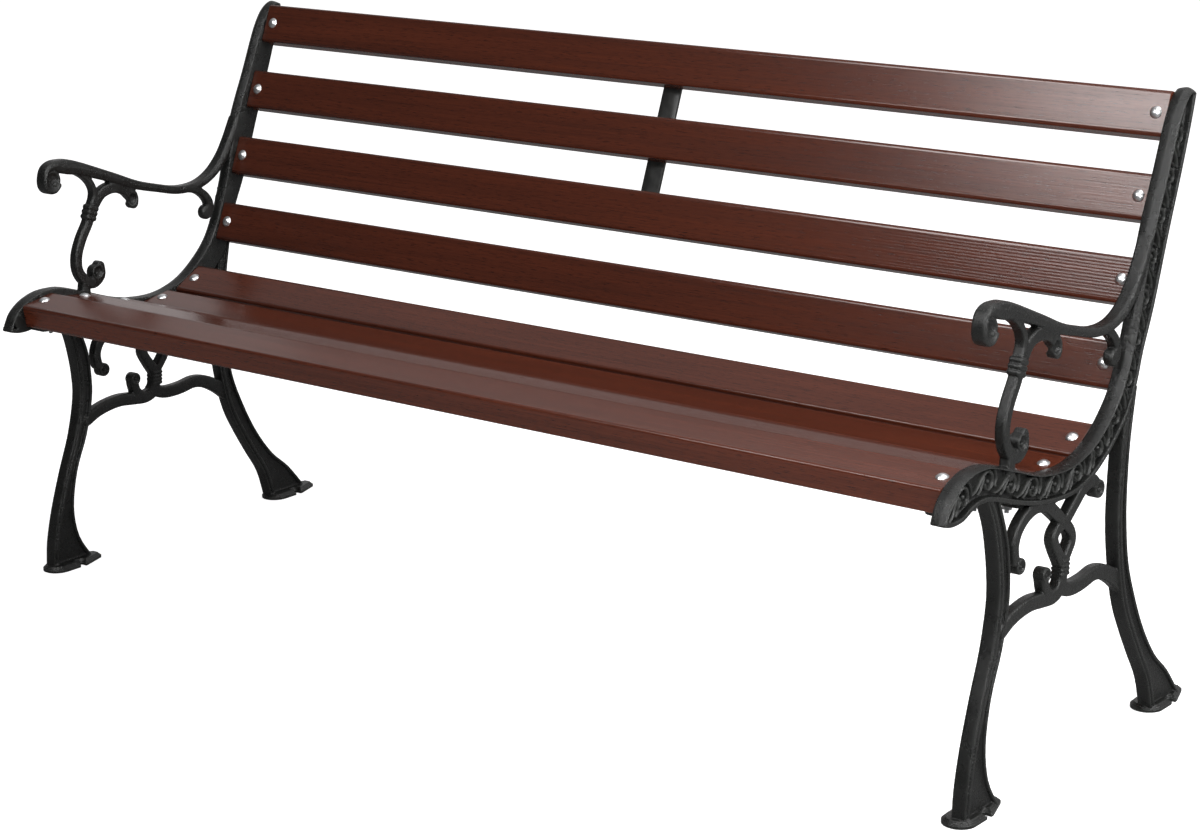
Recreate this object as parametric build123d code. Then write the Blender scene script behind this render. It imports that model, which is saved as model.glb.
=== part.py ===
"""Garden bench: two cast-iron end frames carrying nine wooden slats on carriage bolts.

Frame: +Z up, +X along the bench, the sitter faces -Y, origin at the bottom centre of the bounding box.
Side profiles are drawn in a (Y, Z) plane whose zero is the front tip of the front foot, then centred.
Every length is in millimetres and every angle in degrees.
"""
from build123d import *
import math
import os

# Overall sizes
BENCH_LENGTH = 1520.0          # over the outer faces of the two castings
CASTING_WIDTH = 20.0           # rims and legs, along X
WEB_THICKNESS = 11.0           # recessed panel between the rims
ORNAMENT_WIDTH = 14.0          # arm supports, scrolls and leg braces, along X
ORNAMENT_ROUNDING = 3.0        # edge radius of the arm and ornament

# Slats
SLAT_WIDTH = 56.0
SLAT_THICKNESS = 32.0
SLAT_EDGE_RADIUS = 4.0
SLAT_END_CLEARANCE = 0.5
BACK_TILT = 68.5               # back slats, measured from the horizontal
BACK_PITCH = 100.5
BACK_FIRST = (355.0, 450.5)    # face centre of the lowest back slat
BACK_COUNT = 4
# Face centre (y, z) and tilt of each seat slat, front to rear
SEAT_PLACES = (
    (3.0, 397.5, 10.0),
    (76.0, 390.5, -7.0),
    (149.0, 370.0, -10.5),
    (221.0, 361.3, 9.0),
    (285.0, 378.0, 28.5),
)

# Fasteners
BOLT_DIAMETER = 6.0
BOLT_INSET = 15.0              # bolt axis to the inner face of the casting
HEAD_DIAMETER = 16.0
HEAD_HEIGHT = 3.6
NECK_HEIGHT = 4.0
HOLE_CLEARANCE = 0.3           # radial, round every bolt and screw
WASHER_DIAMETER = 14.0
WASHER_THICKNESS = 1.5
NUT_FLATS = 10.0
NUT_HEIGHT = 5.0
THREAD_CLEARANCE = 0.1         # radial, between a nut and its bolt
BOLT_TAIL = 4.0                # thread showing past the nut
SCREW_DIAMETER = 4.0
SCREW_HEAD_DIAMETER = 8.0
SCREW_HEAD_HEIGHT = 2.4
SCREW_DEPTH = 20.0

# Lugs that carry the slat ends, and the strap that ties the upper back slats at mid span
LUG_LENGTH = 42.0              # along the slat width
LUG_REACH = 31.0               # inward from the casting face
LUG_THICKNESS = 6.0
LUG_ROOT_HEIGHT = 24.0         # block that joins a lug to the casting
LUG_ROOT_DEPTH = 9.0
LUG_CORNER = 8.0               # radius of the two free corners
STRAP_WIDTH = 29.0
STRAP_THICKNESS = 4.0
STRAP_OVERHANG = 18.0          # strap end past the last bolt line
STRAP_FIRST_SLAT = 2           # back slats counted from the lowest; the strap ties this one and those above

# Rims of the seat and back band
RIM_DEPTH = 7.0
REAR_RIM_DEPTH = 6.0

# Feet
FOOT_LENGTH = 96.0
FOOT_WIDTH = 42.0
FOOT_THICKNESS = 8.0
FOOT_INSET = 4.0               # foot centre inboard of the casting's mid plane
FOOT_SPUR_WIDTH = 18.0         # blunt rear end of the foot
FOOT_NOTCH_WIDTH = 9.0
FOOT_NOTCH_DEPTH = 10.0
FOOT_NOTCH_SETBACK = 50.0      # from the front of the foot
FRONT_FOOT_Y = -4.0
REAR_FOOT_Y = 432.0

half_length = BENCH_LENGTH / 2
inner_face = half_length - CASTING_WIDTH
mid_plane = half_length - CASTING_WIDTH / 2
bolt_x = inner_face - BOLT_INSET
slat_length = 2 * (inner_face - SLAT_END_CLEARANCE)
hole_radius = BOLT_DIAMETER / 2 + HOLE_CLEARANCE
screw_hole_radius = SCREW_DIAMETER / 2 + HOLE_CLEARANCE
# Heights under a slat face where each piece of the fastener stack ends
lug_end = -SLAT_THICKNESS - LUG_THICKNESS
washer_end = lug_end - WASHER_THICKNESS
nut_end = washer_end - NUT_HEIGHT

# Front and top edge of the seat and back band, from the drooping nose to the curled top
BAND_FRONT = [
    (-47, 360), (-42, 371), (-35.5, 382), (-25, 391.5), (-11, 399.5), (10, 406), (32, 407), (54, 404),
    (100, 389), (155, 370.5), (205, 363.5), (245, 366), (283, 379), (315, 403), (338, 429), (356, 466),
    (371, 507), (384, 555), (403, 609), (427, 661), (450, 714), (465, 738), (484, 751), (503, 758.5),
]
# Rear and under edge of the same band
BAND_REAR = [
    (-47, 360), (-30, 355), (-8, 356), (14, 364), (35, 366), (60, 361), (100, 348), (150, 334.5),
    (200, 327.5), (240, 328), (275, 337.5), (300, 350), (325, 367), (355, 394), (375, 428), (388, 464),
    (411, 513), (440, 590), (470, 665), (490, 720), (503, 758.5),
]
FRONT_LEG_FRONT = [
    (42, 366), (57, 335), (65, 305), (70, 272), (70, 238), (58, 188), (38, 137), (20, 85), (9, 40), (6, 4),
]
FRONT_LEG_REAR = [
    (70, 362), (83, 330), (92, 302), (95.5, 268), (94, 234), (81, 185), (60, 136), (50, 84), (57, 40), (80, 4),
]
REAR_LEG_FRONT = [
    (350, 392), (343, 340), (339, 268), (347, 205), (360, 158), (378, 122), (402, 82), (425, 45), (438, 4),
]
REAR_LEG_REAR = [
    (378, 424), (366.5, 365), (362, 315), (362, 268), (370, 212), (390, 161), (415, 114), (446, 73), (480, 43),
    (513, 4),
]

# Centre lines of the round-edged members, with the half width at each point
ARM = [(388, 566, 6), (372, 541, 7), (348, 520, 6.5), (318, 508, 6), (280, 507, 6), (240, 516, 6), (200, 527, 6.5),
       (160, 543, 7), (125, 556, 8), (97, 566, 9), (76, 571.5, 10.5), (61, 573, 11.5), (49, 569, 15.5)]
POST = [(93, 563, 6), (106, 554, 5), (116, 543, 4.5), (121.5, 531, 4.5), (121.5, 520, 5.5), (117.5, 508, 7),
        (109, 487, 7), (95, 465, 7), (86, 443, 7), (86, 422, 7), (97, 406, 8), (112, 400, 8.5), (125, 408, 8.5),
        (125, 421, 8)]
POST_NECK = [(97, 402, 7), (96, 384, 9)]
LEAF = [(122, 510, 7), (136, 525, 8), (158, 530, 8.5), (180, 524, 9), (193, 511, 9), (194, 502, 8.5)]
REAR_CURL = [(290, 507, 5), (314, 502, 5.5), (330, 492, 6), (339, 479, 6.5), (338, 466, 6.5)]
LEG_ARCH = [(112, 280, 7), (110, 296, 7), (117, 312, 7.5), (134, 325, 8), (157, 331, 8.5), (180, 326, 8.5),
            (201, 312, 8)]
LEG_LOOP = [(192, 318, 7), (207, 307, 7.5), (221, 296, 7.5), (234, 285, 7), (239, 272, 7), (232, 261, 7),
            (222, 250, 7)]
LEG_STRAND = [(297, 320, 8), (283, 331, 8.5), (264, 327, 8.5), (243, 312, 8), (225, 299, 7.5), (207, 293, 7),
              (198, 284, 7), (202, 272, 7), (216, 252, 8)]
LEG_STEM = [(86, 204, 9), (104, 212, 9), (125, 217, 9), (150, 219, 9), (176, 216, 9), (199, 214, 9),
            (214, 220, 9), (220, 236, 8.5)]
LEG_BRACE = [(214, 221, 9), (232, 214, 9), (250, 212, 9), (271, 213, 9), (295, 216, 9), (318, 211, 9.5),
             (341, 199, 10), (358, 186, 10)]
LEG_HOOK = [(196, 214, 7), (182, 225, 7.5), (177, 240, 7.5)]
LIGHT_MEMBERS = (POST, POST_NECK, LEAF, LEG_ARCH, LEG_LOOP, LEG_STRAND, LEG_STEM, LEG_BRACE, LEG_HOOK)
ARM_DRUM = (45.5, 555.5, 17.5)  # rolled front end of the arm: centre (y, z) and radius
# Round ends of the scrolls: centre (y, z) and radius
REAR_CURL_END = (333, 466, 10.5)
SCROLL_ENDS = ((121, 271, 9.5), (297, 318, 11), (179, 245, 9))
# Bound places: centre (y, z), angle of the member from +Y, and the width over the rings
POST_COLLAR = (117, 499, 70, 24)
LEG_COLLAR = (221, 241, 86, 21)
COLLAR_RING_COUNT = 3
COLLAR_RING_PITCH = 6.5
COLLAR_RING_HEIGHT = 6.0
COLLAR_RING_ROUNDING = 2.5
COLLAR_STAND = 2.0             # ring proud of its member, each way along X


def in_side_plane(points):
    return [Vector(0, p[0], p[1]) for p in points]


def across(face, width, radius=0.0):
    """Solid of the given side profile, centred on the mid plane, with its two outlines rounded."""
    solid = Pos(mid_plane - width / 2, 0, 0) * extrude(face, amount=width, dir=(1, 0, 0))
    if radius:
        outlines = [edge for edge in solid.edges() if abs((edge @ 0).X - (edge @ 1).X) < radius / 10]
        solid = fillet(outlines, radius)
    return solid


def face_between(front, rear):
    """Side face bounded by a front curve and a rear curve, closed by straight ends."""
    front_curve = Spline(*in_side_plane(front))
    rear_curve = Spline(*in_side_plane(rear))
    edges = [front_curve, rear_curve]
    for end in (0, 1):
        if (front_curve @ end - rear_curve @ end).length > 0.01:
            edges.append(Line(front_curve @ end, rear_curve @ end))
    return make_face(edges)


def offset_points(curve, distances, count):
    """Points beside a curve, each at a distance interpolated from the given list."""
    points = []
    for step in range(count + 1):
        place = step / count
        along = place * (len(distances) - 1)
        low = min(int(along), len(distances) - 2)
        reach = distances[low] + (distances[low + 1] - distances[low]) * (along - low)
        tangent = curve % place
        points.append(curve @ place + Vector(0, -tangent.Z, tangent.Y) * reach)
    return points


def edge_strip(curve_points, depth, steps=60):
    """Side face of even depth along one side of a curve; a negative depth lies on its other side."""
    curve = Spline(*in_side_plane(curve_points))
    inner = Spline(*offset_points(curve, [depth, depth], steps))
    edges = [curve, inner, Line(curve @ 0, inner @ 0), Line(curve @ 1, inner @ 1)]
    return make_face(edges)


def member(stations):
    """Side face of a curved bar of varying depth with rounded ends."""
    curve = Spline(*in_side_plane(stations))
    places = [curve.param_at_point(p) for p in in_side_plane(stations)]
    left, right = [], []
    steps = 6 * (len(stations) - 1)
    for step in range(steps + 1):
        place = step / steps
        low = max(i for i in range(len(places) - 1) if places[i] <= place + 1e-6)
        share = (place - places[low]) / (places[low + 1] - places[low])
        reach = stations[low][2] + (stations[low + 1][2] - stations[low][2]) * share
        tangent = curve % place
        normal = Vector(0, -tangent.Z, tangent.Y)
        left.append(curve @ place + normal * reach)
        right.append(curve @ place - normal * reach)
    start_cap = curve @ 0 - (curve % 0) * stations[0][2]
    end_cap = curve @ 1 + (curve % 1) * stations[-1][2]
    edges = [
        Spline(*left),
        ThreePointArc(left[-1], end_cap, right[-1]),
        Spline(*right),
        ThreePointArc(left[0], start_cap, right[0]),
    ]
    return make_face(edges)


def ball(y, z, radius):
    """Side face of a scroll's round end."""
    return make_face(Plane.YZ * Pos(y, z) * CenterArc((0, 0), radius, 0, 360))


def collar(y, z, angle, width):
    """Stack of rounded rings round a member, with its axis at the given angle from +Y."""
    rings = []
    for index in range(COLLAR_RING_COUNT):
        shift = (index - (COLLAR_RING_COUNT - 1) / 2) * COLLAR_RING_PITCH
        turn = math.radians(angle)
        centre = (mid_plane, y + shift * math.cos(turn), z + shift * math.sin(turn))
        ring = Box(ORNAMENT_WIDTH + 2 * COLLAR_STAND, COLLAR_RING_HEIGHT, width)
        ring = fillet(ring.edges().filter_by(Axis.Z), COLLAR_RING_ROUNDING)
        rings.append(Pos(*centre) * Rot(angle, 0, 0) * ring)
    return rings


def slat_frame(y, z, tilt):
    """Local frame on a slat face: X along the slat, Y up its width, Z out of the face."""
    return Location((0, y, z), (tilt, 0, 0))


def slat_places():
    """Every slat as (name, frame)."""
    places = []
    for index, (y, z, tilt) in enumerate(SEAT_PLACES):
        places.append((f"seat_slat_{index + 1}", slat_frame(y, z, tilt)))
    turn = math.radians(BACK_TILT)
    for index in range(BACK_COUNT):
        y = BACK_FIRST[0] + index * BACK_PITCH * math.cos(turn)
        z = BACK_FIRST[1] + index * BACK_PITCH * math.sin(turn)
        places.append((f"back_slat_{index + 1}", slat_frame(y, z, BACK_TILT)))
    return places


def lug(frame):
    """Ear behind one slat end, with its bolt hole, joined to the casting by a root block."""
    depth_centre = -(SLAT_THICKNESS + LUG_THICKNESS / 2)
    reach = LUG_REACH + LUG_ROOT_DEPTH
    ear = Box(reach, LUG_LENGTH, LUG_THICKNESS)
    ear = fillet(ear.edges().filter_by(Axis.Z).group_by(Axis.X)[0], LUG_CORNER)
    ear = Pos(inner_face + LUG_ROOT_DEPTH - reach / 2, 0, depth_centre) * ear
    root = Box(LUG_ROOT_DEPTH, LUG_LENGTH, LUG_ROOT_HEIGHT)
    root_z = LUG_ROOT_HEIGHT / 2 - SLAT_THICKNESS - LUG_THICKNESS
    root = Pos(inner_face + LUG_ROOT_DEPTH / 2, 0, root_z) * root
    hole = Pos(bolt_x, 0, depth_centre) * Cylinder(hole_radius, LUG_THICKNESS * 2)
    return frame * (ear + root - hole)


def foot(front_y):
    """Foot flange, round in front and tapered behind, with an anchor notch in each long side."""
    half = FOOT_WIDTH / 2
    shoulder = FOOT_NOTCH_SETBACK + FOOT_NOTCH_WIDTH
    spur = FOOT_SPUR_WIDTH / 2
    outline = make_face([
        ThreePointArc((-half, half), (0, 0), (half, half)),
        Line((half, half), (half, shoulder)),
        Line((half, shoulder), (spur, FOOT_LENGTH)),
        Line((spur, FOOT_LENGTH), (-spur, FOOT_LENGTH)),
        Line((-spur, FOOT_LENGTH), (-half, shoulder)),
        Line((-half, shoulder), (-half, half)),
    ])
    pad = extrude(outline, amount=FOOT_THICKNESS, dir=(0, 0, 1))
    pad = fillet(pad.edges().group_by(Axis.Z)[-1], FOOT_THICKNESS / 4)
    for side in (-1, 1):
        slot = Box(2 * FOOT_NOTCH_DEPTH, FOOT_NOTCH_WIDTH, 3 * FOOT_THICKNESS)
        pad -= Pos(side * half, FOOT_NOTCH_SETBACK, 0) * slot
    return Pos(mid_plane - FOOT_INSET, front_y, 0) * pad


def end_frame():
    """Right-hand casting: band, arm, post, ornament, two legs, feet and the slat lugs."""
    # The web and the curl behind the arm lie flush with the casting's inner face
    web_place = Pos((WEB_THICKNESS - CASTING_WIDTH) / 2, 0, 0)
    curl_place = Pos((ORNAMENT_WIDTH - CASTING_WIDTH) / 2, 0, 0)
    casting = web_place * across(face_between(BAND_FRONT, BAND_REAR), WEB_THICKNESS)
    heavy = [
        edge_strip(BAND_FRONT, -RIM_DEPTH),
        edge_strip(BAND_REAR, REAR_RIM_DEPTH),
        face_between(FRONT_LEG_FRONT, FRONT_LEG_REAR),
        face_between(REAR_LEG_FRONT, REAR_LEG_REAR),
    ]
    arm = [member(ARM), ball(*ARM_DRUM)]
    light = [member(stations) for stations in LIGHT_MEMBERS] + [ball(*place) for place in SCROLL_ENDS]
    curl = [member(REAR_CURL), ball(*REAR_CURL_END)]
    pieces = [across(face, CASTING_WIDTH) for face in heavy]
    pieces += [across(face, CASTING_WIDTH, ORNAMENT_ROUNDING) for face in arm]
    pieces += [across(face, ORNAMENT_WIDTH, ORNAMENT_ROUNDING) for face in light]
    pieces += [curl_place * across(face, ORNAMENT_WIDTH, ORNAMENT_ROUNDING) for face in curl]
    pieces += [foot(FRONT_FOOT_Y), foot(REAR_FOOT_Y)]
    pieces += collar(*POST_COLLAR) + collar(*LEG_COLLAR)
    pieces += [lug(frame) for _, frame in slat_places()]
    return casting.fuse(*pieces)


def slat(pilot_hole):
    """Slat with rounded long edges, its face at local Z = 0; one pilot hole behind if asked for."""
    board = Box(slat_length, SLAT_WIDTH, SLAT_THICKNESS)
    board = fillet(board.edges().filter_by(Axis.X), SLAT_EDGE_RADIUS)
    board = Pos(0, 0, -SLAT_THICKNESS / 2) * board
    pocket = BOLT_DIAMETER + 2 * HOLE_CLEARANCE
    for side in (-1, 1):
        board -= Pos(side * bolt_x, 0, -SLAT_THICKNESS / 2) * Cylinder(hole_radius, 2 * SLAT_THICKNESS)
        board -= Pos(side * bolt_x, 0, 0) * Box(pocket, pocket, 2 * (NECK_HEIGHT + HOLE_CLEARANCE))
    if pilot_hole:
        depth = SCREW_DEPTH - STRAP_THICKNESS + HOLE_CLEARANCE
        board -= Pos(0, 0, -SLAT_THICKNESS) * Cylinder(screw_hole_radius, 2 * depth)
    return board


def between(z_low, z_high, shape):
    """The shape, drawn centred on Z = 0, moved to stand between two heights."""
    return Pos(0, 0, (z_low + z_high) / 2) * shape


def carriage_bolt():
    """Domed head on the slat face, square neck in the wood, and a shank past the nut."""
    dome_radius = (HEAD_DIAMETER ** 2 / 4 + HEAD_HEIGHT ** 2) / (2 * HEAD_HEIGHT)
    dome = Pos(0, 0, HEAD_HEIGHT - dome_radius) * Sphere(dome_radius)
    head = dome & between(0, HEAD_HEIGHT, Cylinder(HEAD_DIAMETER, HEAD_HEIGHT))
    neck = between(-NECK_HEIGHT, 0, Box(BOLT_DIAMETER, BOLT_DIAMETER, NECK_HEIGHT))
    end = nut_end - BOLT_TAIL
    return head + neck + between(end, 0, Cylinder(BOLT_DIAMETER / 2, -end))


def washer():
    ring = Cylinder(WASHER_DIAMETER / 2, WASHER_THICKNESS) - Cylinder(hole_radius, 2 * WASHER_THICKNESS)
    return between(washer_end, lug_end, ring)


def nut():
    block = extrude(RegularPolygon(NUT_FLATS / 2, 6, major_radius=False), amount=NUT_HEIGHT)
    block = Pos(0, 0, nut_end) * block
    return block - between(nut_end, washer_end, Cylinder(BOLT_DIAMETER / 2 + THREAD_CLEARANCE, 2 * NUT_HEIGHT))


def strap_screw():
    """Pan-head wood screw through the strap into the back of a slat."""
    seat = -SLAT_THICKNESS - STRAP_THICKNESS
    head = between(seat - SCREW_HEAD_HEIGHT, seat, Cylinder(SCREW_HEAD_DIAMETER / 2, SCREW_HEAD_HEIGHT))
    head = fillet(head.edges().group_by(Axis.Z)[0], SCREW_HEAD_HEIGHT / 2)
    return head + between(seat, seat + SCREW_DEPTH, Cylinder(SCREW_DIAMETER / 2, SCREW_DEPTH))


def strap(slat_count):
    """Flat strap behind a run of back slats, in the frame of the lowest of them."""
    run = (slat_count - 1) * BACK_PITCH
    bar = Box(STRAP_WIDTH, run + 2 * STRAP_OVERHANG, STRAP_THICKNESS)
    bar = Pos(0, run / 2, -SLAT_THICKNESS - STRAP_THICKNESS / 2) * bar
    for index in range(slat_count):
        bar -= Pos(0, index * BACK_PITCH, -SLAT_THICKNESS) * Cylinder(screw_hole_radius, 4 * STRAP_THICKNESS)
    return bar


def assembly():
    """Every node by name, each a list of solids, still in the side plane's own zero."""
    nodes = {}
    right = end_frame()
    nodes["right_end_frame"] = [right]
    nodes["left_end_frame"] = [mirror(right, about=Plane.YZ)]
    strapped = [f"back_slat_{index + 1}" for index in range(STRAP_FIRST_SLAT - 1, BACK_COUNT)]
    nodes["back_brace_screws"] = []
    for name, frame in slat_places():
        nodes[name] = [frame * slat(name in strapped)]
        if name == strapped[0]:
            nodes["back_brace"] = [frame * strap(len(strapped))]
        if name in strapped:
            nodes["back_brace_screws"].append(frame * strap_screw())
        group = name.split("_")[0]
        for side, sign in (("left", -1), ("right", 1)):
            place = frame * Pos(sign * bolt_x, 0, 0)
            for kind, make in (("bolts", carriage_bolt), ("washers", washer), ("nuts", nut)):
                nodes.setdefault(f"{side}_{group}_{kind}", []).append(place * make())
    return nodes


def main():
    os.makedirs("parts", exist_ok=True)
    nodes = assembly()
    centre_y = nodes["right_end_frame"][0].bounding_box().center().Y
    for name, solids in nodes.items():
        moved = [Pos(0, -centre_y, 0) * shape for shape in solids]
        export_step(moved[0] if len(moved) == 1 else Compound(children=moved), f"parts/{name}.step")
        print(name, all(shape.is_valid for shape in moved), sum(len(shape.solids()) for shape in moved))


if __name__ == "__main__":
    main()
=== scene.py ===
"""Garden bench: two cast-iron end frames, nine varnished slats and their bright bolts.

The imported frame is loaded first, and every piece is modelled in its place round it, in metres.
+X runs along the bench, -Y is the way the sitter faces, and the ground is Z = 0.
"""
import math

import bpy
from mathutils import Matrix, Vector


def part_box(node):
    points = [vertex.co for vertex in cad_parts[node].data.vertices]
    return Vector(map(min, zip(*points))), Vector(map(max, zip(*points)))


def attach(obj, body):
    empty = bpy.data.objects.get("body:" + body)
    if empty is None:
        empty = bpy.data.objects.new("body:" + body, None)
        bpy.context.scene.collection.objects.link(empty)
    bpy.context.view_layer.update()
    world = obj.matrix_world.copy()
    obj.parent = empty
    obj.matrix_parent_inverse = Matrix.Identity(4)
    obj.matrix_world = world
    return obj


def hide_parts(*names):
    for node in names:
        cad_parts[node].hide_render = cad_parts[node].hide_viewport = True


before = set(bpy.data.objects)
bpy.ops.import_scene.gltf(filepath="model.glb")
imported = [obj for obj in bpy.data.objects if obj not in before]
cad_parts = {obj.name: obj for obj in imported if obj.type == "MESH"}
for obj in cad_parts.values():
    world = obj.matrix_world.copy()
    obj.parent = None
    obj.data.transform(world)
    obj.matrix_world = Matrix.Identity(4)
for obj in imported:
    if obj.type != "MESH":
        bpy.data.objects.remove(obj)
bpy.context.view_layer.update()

bl_info = {
    "name": "Garden Bench",
    "version": (1, 0, 0),
    "blender": (4, 5, 0),
    "location": "View3D > Sidebar > Bench",
    "description": "Slatted garden bench with cast-iron end frames",
    "category": "Object",
}

MM = 0.001
# Side profiles are drawn in millimetres from the front foot's tip, which lies here in Y
SIDE_ZERO_Y = -240.5 * MM
# The right-hand casting's inner face and middle, and the bolts' place, along X
INNER_FACE = 740 * MM
MID_PLANE = 750 * MM
BOLT_X = 725 * MM
# Takes a profile drawn in (X, Y) to the bench's (Y, Z) plane
SIDE_PLANE = Matrix(((0, 0, 1, 0), (1, 0, 0, 0), (0, 1, 0, 0), (0, 0, 0, 1)))

# Front and top edge of the seat and back band, and its rear and under edge, from the nose to the curled top
BAND_FRONT = (
    (-47, 360), (-42, 371), (-35.5, 382), (-25, 391.5), (-11, 399.5), (10, 406), (32, 407), (54, 404),
    (100, 389), (155, 370.5), (205, 363.5), (245, 366), (283, 379), (315, 403), (338, 429), (356, 466),
    (371, 507), (384, 555), (403, 609), (427, 661), (450, 714), (463, 738), (475, 752.5), (488, 760),
    (500, 757.5),
)
BAND_REAR = (
    (-45, 358.5), (-30, 355), (-8, 356), (14, 364), (35, 366), (60, 361), (100, 348), (150, 334.5),
    (200, 327.5), (240, 328), (275, 337.5), (300, 350), (325, 367), (355, 394), (375, 428), (388, 464),
    (411, 513), (440, 590), (470, 665), (490, 720), (500, 752),
)
FRONT_LEG_FRONT = (
    (42, 366), (57, 335), (65, 305), (70, 272), (70, 238), (58, 188), (38, 137), (20, 85), (9, 40), (6, 4),
)
FRONT_LEG_REAR = (
    (70, 362), (83, 330), (92, 302), (95.5, 268), (94, 234), (81, 185), (60, 136), (50, 84), (57, 40),
    (80, 4),
)
REAR_LEG_FRONT = (
    (350, 392), (343, 340), (339, 268), (347, 205), (360, 158), (378, 122), (402, 82), (425, 45), (438, 4),
)
REAR_LEG_REAR = (
    (378, 424), (366.5, 365), (362, 315), (362, 268), (370, 212), (390, 161), (415, 114), (446, 73),
    (480, 43), (513, 4),
)
# Members as centre line (y, z) and half width
ARM = (
    (402, 595, 4), (388, 566, 6), (372, 541, 7), (348, 520, 6.5), (318, 508, 6), (280, 507, 6), (240, 516, 6),
    (200, 527, 6.5), (160, 543, 7), (125, 556, 8), (97, 566, 9), (76, 571.5, 10.5), (62, 574.5, 9.5),
    (49, 577, 6.5), (38, 573, 4.5), (33, 562, 4), (33, 550, 4), (39, 543, 4), (49, 542, 4), (56.5, 548, 4),
)
POST = (
    (93, 563, 6), (106, 554, 5), (116, 543, 4.5), (121.5, 531, 4.5), (121.5, 520, 5.5), (117.5, 508, 7),
    (109, 487, 7), (95, 465, 7), (86, 443, 7), (86, 422, 7), (97, 406, 8), (112, 400, 8.5), (125, 408, 8.5),
    (125, 421, 8),
)
POST_NECK = ((97, 402, 7), (96, 384, 9))
LEAF = ((122, 510, 7), (136, 525, 8), (158, 530, 8.5), (180, 524, 9), (193, 511, 9), (194, 502, 8.5))
REAR_CURL = ((290, 507, 5), (314, 502, 5.5), (330, 492, 6), (339, 479, 6.5), (338, 466, 6.5))
LEG_ARCH = (
    (112, 280, 7), (110, 296, 7), (117, 312, 7.5), (134, 325, 8), (157, 331, 8.5), (180, 326, 8.5),
    (201, 312, 8), (219, 297, 7.5), (234, 285, 7), (239, 272, 7), (232, 261, 7), (222, 250, 7),
)
LEG_STRAND = (
    (297, 320, 8), (283, 331, 8.5), (264, 327, 8.5), (243, 312, 8), (225, 299, 7.5), (207, 293, 7),
    (198, 284, 7), (202, 272, 7), (216, 252, 8),
)
LEG_STEM = (
    (86, 204, 9), (104, 212, 9), (125, 217, 9), (150, 219, 9), (176, 216, 9), (199, 214, 9), (214, 220, 9),
    (220, 236, 8.5),
)
LEG_BRACE = (
    (214, 221, 9), (232, 214, 9), (250, 212, 9), (271, 213, 9), (295, 216, 9), (318, 211, 9.5),
    (341, 199, 10), (358, 186, 10),
)
LEG_HOOK = ((196, 214, 7), (182, 225, 7.5), (177, 240, 7.5))
LIGHT_MEMBERS = (POST, POST_NECK, LEAF, LEG_ARCH, LEG_STRAND, LEG_STEM, LEG_BRACE, LEG_HOOK)
# Round scroll ends: centre (y, z) and radius
SCROLL_ENDS = ((119, 414, 10.5), (121, 271, 9.5), (297, 318, 11), (179, 245, 9))
REAR_CURL_END = (333, 466, 10.5)
ARM_DRUM = (45.5, 556.5, 15.0)
# Hollowed scroll faces: centre (y, z), radius, depth and the height of the face over the middle plane
DISHES = (
    (45, 557.5, 11.5, 6, 10), (190.5, 508, 8, 5, 7), (119, 414.5, 8.5, 4, 8),
    (121, 271, 6.5, 2.6, 8), (297, 318, 8, 3, 8), (179, 245, 6, 2.4, 8),
)
# Nubs left in hollowed faces: centre (y, z), radius and distance from the middle plane
NUBS = ((50.5, 550, 4.4, 4.6), (121, 271, 2.4, 5.2), (297, 317, 3, 5.2), (179, 245, 2.2, 5.2),
        (117.5, 412.5, 2.6, 5.2))
# Heights under a slat's top face at which lug, washer, nut and bolt end
LUG_MIDDLE = -35 * MM
LUG_BACK = -38 * MM
WASHER_BACK = -39.5 * MM
NUT_BACK = -44.5 * MM
BOLT_END = -48.3 * MM
# Bolt, thread and holes
DOME_RIM = 0.5 * MM
NECK_WIDTH = 6 * MM
NECK_DEPTH = 4 * MM
SHANK_RADIUS = 2.9 * MM
THREAD_RADIUS = 3.0 * MM
THREAD_PITCH = 1.0 * MM
THREAD_ROOT = 0.82
THREAD_WAIST = 0.86
BOLT_HOLE = 3.3 * MM
NUT_BORE = 3.05 * MM
NUT_HALF_FLATS = 5 * MM
# Cone that chamfers the nut's corners: wide and narrow radius, height
NUT_CHAMFER = (8.2 * MM, 4.9 * MM, 3.3 * MM)
WASHER_RADIUS = 7 * MM
# Strap and its screws, whose heads stand on its back
STRAP_WIDTH = 29 * MM
STRAP_THICKNESS = 4 * MM
STRAP_OVERRUN = 36
STRAP_HOLE = 2.3 * MM
STRAP_MIDDLE = -34 * MM
STRAP_BACK = -36 * MM
SCREW_HEAD_RADIUS = 4 * MM
SCREW_HEAD_HEIGHT = 2.4 * MM
SCREW_SLOT = (1.1 * MM, 10 * MM, 2 * MM)
SCREW_RADIUS = 2 * MM
SCREW_TIP = -17 * MM
STRAPPED_SLATS = ("back_slat_2", "back_slat_3", "back_slat_4")
# Bound places: centre (y, z), lean from +Y in degrees, width over the rings, rings, pitch, slant in degrees
POST_COLLAR = (114.5, 500, 68, 18.5, 3, 7.0, 0)
LEG_COLLAR = (221, 241, 86, 20, 4, 5.2, 24)

# Slat face centre (y, z) in the same drawing, and tilt from the horizontal
SLATS = {
    "seat_slat_1": (3.0, 397.5, 10.0),
    "seat_slat_2": (76.0, 390.5, -7.0),
    "seat_slat_3": (149.0, 370.0, -10.5),
    "seat_slat_4": (221.0, 361.3, 9.0),
    "seat_slat_5": (285.0, 378.0, 28.5),
}
BACK_TILT = 68.5
BACK_PITCH = 100.5
for _index in range(4):
    SLATS[f"back_slat_{_index + 1}"] = (
        355.0 + _index * BACK_PITCH * math.cos(math.radians(BACK_TILT)),
        450.5 + _index * BACK_PITCH * math.sin(math.radians(BACK_TILT)),
        BACK_TILT,
    )


# ---- Settings


def length(name, description, millimetres):
    return bpy.props.FloatProperty(
        name=name, description=description, default=millimetres * MM, unit="LENGTH")


def colour(name, description, default):
    return bpy.props.FloatVectorProperty(
        name=name, description=description, subtype="COLOR", size=3, default=default)


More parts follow.
